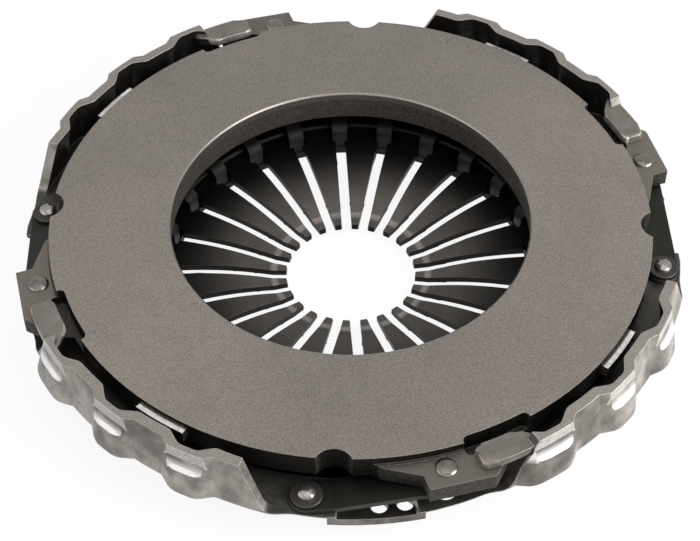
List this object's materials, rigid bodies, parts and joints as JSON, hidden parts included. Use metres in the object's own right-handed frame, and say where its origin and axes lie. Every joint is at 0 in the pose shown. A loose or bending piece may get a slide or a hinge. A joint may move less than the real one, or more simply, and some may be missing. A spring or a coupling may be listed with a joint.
{
  "type": "clutch pressure plate",
  "caption": "Push-type diaphragm clutch pressure plate: ground cast iron ring on leaf springs inside a pressed steel cover, driven through a fingered diaphragm spring.",
  "frame": {"origin": "centre of the plane in which the cover's rim meets the flywheel, on the clutch axis", "axes": "+Z along the clutch axis towards the flywheel; +X and +Y along the sides of the flywheel bolts' rectangles; the four quarters are alike"},
  "size_m": [0.4736, 0.4736, 0.074],
  "materials": {
    "pressed_steel": "pressed sheet, phosphated and oiled, turned bright on the centring diameter",
    "ground_cast_iron": "ground friction face, as-cast sides",
    "spring_steel": "shot-peened and oiled",
    "leaf_steel": "blued strip",
    "ring_wire": "drawn wire",
    "rivet_steel": "closed rivet heads, bare",
    "washer_steel": "oiled"
  },
  "bodies": {
    "cover": {"cover": "pressed_steel", "fulcrum_ring_front": "ring_wire", "fulcrum_ring_rear": "ring_wire", "diaphragm_spring": "spring_steel", "leaf_spring_1_lower": "leaf_steel", "leaf_spring_1_middle": "leaf_steel", "leaf_spring_1_upper": "leaf_steel", "leaf_spring_2_lower": "leaf_steel", "leaf_spring_2_middle": "leaf_steel", "leaf_spring_2_upper": "leaf_steel", "leaf_spring_3_lower": "leaf_steel", "leaf_spring_3_middle": "leaf_steel", "leaf_spring_3_upper": "leaf_steel", "leaf_spring_4_lower": "leaf_steel", "leaf_spring_4_middle": "leaf_steel", "leaf_spring_4_upper": "leaf_steel", "leaf_rivets": "rivet_steel", "leaf_washers": "washer_steel"},
    "pressure_plate": {"pressure_plate": "ground_cast_iron", "lug_rivets": "rivet_steel"}
  },
  "joints": [
    {"name": "plate_lift", "type": "slide", "parent": "cover", "child": "pressure_plate", "axis": [0, 0, 1], "range_m": [-0.0075, 0], "stiffness_N_per_m": 25000, "springref_m": 0.01, "deforming": ["diaphragm_spring", "leaf_spring_1_lower", "leaf_spring_1_middle", "leaf_spring_1_upper", "leaf_spring_2_lower", "leaf_spring_2_middle", "leaf_spring_2_upper", "leaf_spring_3_lower", "leaf_spring_3_middle", "leaf_spring_3_upper", "leaf_spring_4_lower", "leaf_spring_4_middle", "leaf_spring_4_upper"]}
  ]
}
